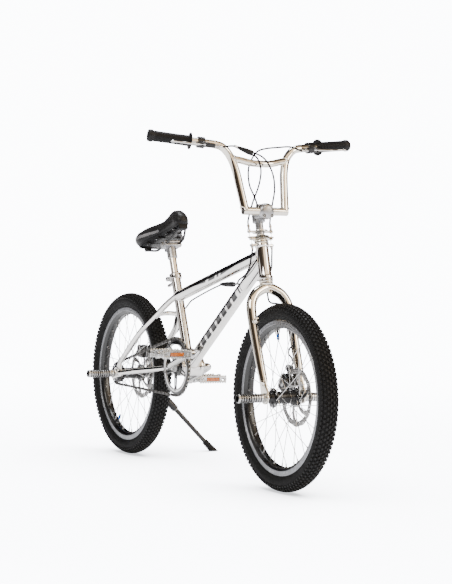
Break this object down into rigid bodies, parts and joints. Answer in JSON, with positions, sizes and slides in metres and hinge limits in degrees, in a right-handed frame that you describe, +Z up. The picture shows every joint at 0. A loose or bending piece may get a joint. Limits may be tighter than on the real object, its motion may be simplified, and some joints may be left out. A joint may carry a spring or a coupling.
{
  "type": "bmx bike",
  "caption": "Freestyle BMX bike with a chromed steel frame, spoked wheels, axle pegs, disc brakes, a high handlebar with a crossbar, and a side stand.",
  "frame": {"origin": "the floor, under the middle of the bounding box, with the bike leaning on its stand", "axes": "+X ahead, the way the bike rides; +Y to the rider's left; +Z up. The bike leans 1.24 degrees to +Y, onto the stand"},
  "size_m": [1.4752, 0.639, 0.9747],
  "materials": {
    "chrome": "polished",
    "alloy": "satin",
    "rotor_steel": "ground",
    "black_paint": "semi-gloss black",
    "chain_steel": "oiled dark steel",
    "tyre": "matt moulded rubber",
    "rubber": "matt",
    "plastic": "satin black",
    "cover": "grained black synthetic leather"
  },
  "bodies": {
    "frame": {"frame": "chrome", "upper_headset_cup": "chrome", "lower_headset_cup": "chrome", "seat_collar": "alloy", "chain": "chain_steel", "rear_axle": "chrome", "rear_caliper": "black_paint", "kickstand_bracket": "black_paint", "bottom_bracket_cup_right": "alloy", "bottom_bracket_cup_left": "alloy", "rear_peg_right": "chrome", "rear_peg_left": "chrome", "rear_brake_cable": "plastic"},
    "crank": {"crank": "alloy", "chainring": "black_paint"},
    "freewheel": {"freewheel": "chain_steel"},
    "right_pedal": {"pedal_right": "alloy"},
    "left_pedal": {"pedal_left": "alloy"},
    "front_wheel": {"front_tyre": "tyre", "front_inner_tube": "rubber", "front_rim": "black_paint", "front_spokes": "chrome", "front_hub": "black_paint", "front_rotor": "rotor_steel"},
    "rear_wheel": {"rear_tyre": "tyre", "rear_inner_tube": "rubber", "rear_rim": "black_paint", "rear_spokes": "chrome", "rear_hub": "black_paint", "rear_rotor": "rotor_steel"},
    "steering": {"fork": "chrome", "headset_locknut": "chrome", "stem": "alloy", "stem_cap": "alloy", "handlebar": "chrome", "front_axle": "chrome", "front_caliper": "black_paint", "gyro_top_plate": "alloy", "grip_right": "rubber", "grip_left": "rubber", "brake_lever_body_right": "black_paint", "brake_lever_body_left": "black_paint", "front_peg_right": "chrome", "front_peg_left": "chrome", "front_brake_cable": "plastic", "gyro_upper_cable": "plastic"},
    "right_lever": {"brake_lever_blade_right": "alloy"},
    "left_lever": {"brake_lever_blade_left": "alloy"},
    "upper_ring": {"gyro_upper_ring": "alloy"},
    "lower_ring": {"gyro_lower_ring": "alloy"},
    "front_arm": {"front_caliper_arm": "black_paint"},
    "rear_arm": {"rear_caliper_arm": "black_paint"},
    "seat": {"seat_post": "chrome", "saddle_clamp": "alloy", "saddle_rails": "black_paint", "saddle_base": "plastic", "saddle_pad": "cover"},
    "seat_lever": {"seat_quick_release": "alloy"},
    "kickstand": {"kickstand_leg": "black_paint", "kickstand_foot": "rubber"}
  },
  "joints": [
    {"name": "steering_turn", "type": "hinge", "parent": "frame", "child": "steering", "pos_m": [0.37375, -0.00821, 0.56742], "axis": [-0.2773, 0.0208, 0.9605], "continuous": true},
    {"name": "front_wheel_spin", "type": "hinge", "parent": "steering", "child": "front_wheel", "pos_m": [0.48425, -0.015, 0.25349], "axis": [0, 0.9998, -0.0216], "continuous": true},
    {"name": "rear_wheel_spin", "type": "hinge", "parent": "frame", "child": "rear_wheel", "pos_m": [-0.48425, -0.015, 0.25349], "axis": [0, 0.9998, -0.0216], "continuous": true},
    {"name": "crank_turn", "type": "hinge", "parent": "frame", "child": "crank", "pos_m": [-0.07525, -0.01399, 0.30048], "axis": [0, 0.9998, -0.0216], "continuous": true},
    {"name": "freewheel_turn", "type": "hinge", "parent": "frame", "child": "freewheel", "pos_m": [-0.48425, -0.05999, 0.25446], "axis": [0, 0.9998, -0.0216], "continuous": true},
    {"name": "right_pedal_spin", "type": "hinge", "parent": "crank", "child": "right_pedal", "pos_m": [0.08038, -0.09092, 0.35063], "axis": [0, 0.9998, -0.0216], "continuous": true},
    {"name": "left_pedal_spin", "type": "hinge", "parent": "crank", "child": "left_pedal", "pos_m": [-0.23088, 0.06295, 0.25033], "axis": [0, 0.9998, -0.0216], "continuous": true},
    {"name": "right_lever_pull", "type": "hinge", "parent": "steering", "child": "right_lever", "pos_m": [0.32864, -0.17446, 0.93442], "axis": [-0.2417, -0.0663, -0.9681], "range_deg": [0, 14], "stiffness_Nm_per_rad": 1.5, "springref_deg": -8.59},
    {"name": "left_lever_pull", "type": "hinge", "parent": "steering", "child": "left_lever", "pos_m": [0.32864, 0.17376, 0.92688], "axis": [0.2417, -0.0244, 0.9701], "range_deg": [0, 14], "stiffness_Nm_per_rad": 1.5, "springref_deg": -8.59},
    {"name": "upper_ring_lift", "type": "slide", "parent": "steering", "child": "upper_ring", "axis": [-0.2773, 0.0208, 0.9605], "range_m": [0, 0.0081]},
    {"name": "lower_ring_lift", "type": "slide", "parent": "frame", "child": "lower_ring", "axis": [-0.2773, 0.0208, 0.9605], "range_m": [0, 0.0081]},
    {"name": "front_arm_pull", "type": "hinge", "parent": "steering", "child": "front_arm", "pos_m": [0.42449, -0.01426, 0.28798], "axis": [0, 0.9998, -0.0216], "range_deg": [0, 18.5]},
    {"name": "rear_arm_pull", "type": "hinge", "parent": "frame", "child": "rear_arm", "pos_m": [-0.47944, -0.01351, 0.3223], "axis": [0, 0.9998, -0.0216], "range_deg": [0, 18.5]},
    {"name": "seat_height", "type": "slide", "parent": "frame", "child": "seat", "axis": [-0.3681, 0.0201, 0.9296], "range_m": [-0.045, 0.1]},
    {"name": "seat_lever_turn", "type": "hinge", "parent": "frame", "child": "seat_lever", "pos_m": [-0.20165, -0.00846, 0.55582], "axis": [0, 0.9998, -0.0216], "range_deg": [0, 85]},
    {"name": "kickstand_fold", "type": "hinge", "parent": "frame", "child": "kickstand", "pos_m": [-0.47225, 0.06405, 0.20877], "axis": [0, 0.8598, 0.5106], "range_deg": [0, 95]}
  ],
  "couplings": [
    {"joint": "freewheel_turn", "follows": "crank_turn", "ratio": 2.625},
    {"joint": "upper_ring_lift", "follows": "right_lever_pull", "m_per_rad": 0.0325},
    {"joint": "lower_ring_lift", "follows": "right_lever_pull", "m_per_rad": 0.0325},
    {"joint": "rear_arm_pull", "follows": "right_lever_pull", "ratio": 1.285},
    {"joint": "front_arm_pull", "follows": "left_lever_pull", "ratio": 1.285}
  ]
}
